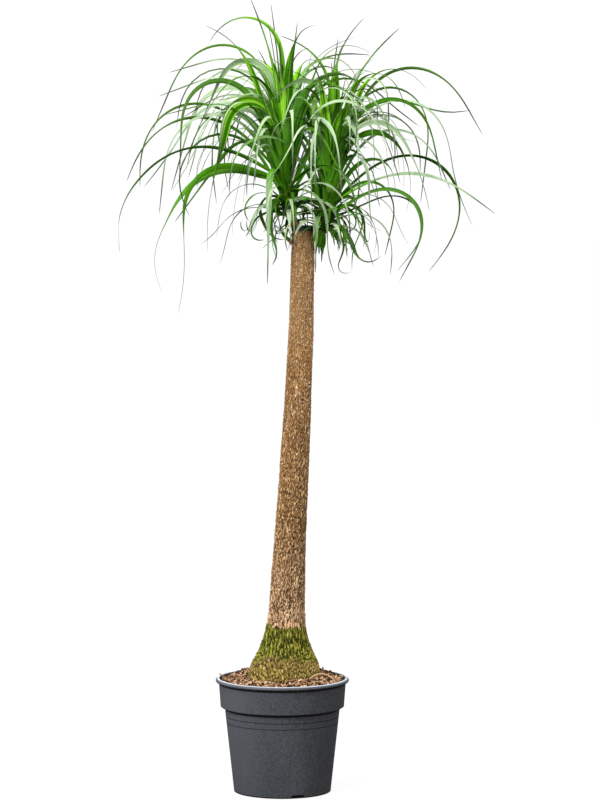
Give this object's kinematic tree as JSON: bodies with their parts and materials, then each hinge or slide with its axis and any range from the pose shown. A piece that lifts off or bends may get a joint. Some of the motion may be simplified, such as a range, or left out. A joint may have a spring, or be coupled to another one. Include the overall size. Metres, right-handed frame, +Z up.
{
  "type": "potted ponytail palm",
  "caption": "Tall ponytail palm with two arching leafy heads on a corky trunk that flares at the foot, in a dark plastic nursery pot",
  "frame": {"origin": "middle of the flat bottom of the pot", "axes": "+Z up; +X towards the side the trunk leans to, with the lower head on that side; the pictured front faces -Y"},
  "size_m": [0.7449, 0.4481, 1.5998],
  "materials": {
    "pot_plastic": "matt anthracite, injection moulded",
    "bark_mulch": "loose reddish-brown bark chips",
    "corky_bark": "dry cracked cork, mossy green at the foot, dark sealed cut at the top",
    "leaf_green": "waxy leaf, paler on the underside",
    "young_leaf": "waxy leaf, fresh green"
  },
  "bodies": {
    "root": {"pot": "pot_plastic", "soil": "bark_mulch", "trunk": "corky_bark", "head_left": "leaf_green", "head_right": "leaf_green", "side_shoot": "young_leaf"}
  },
  "joints": []
}
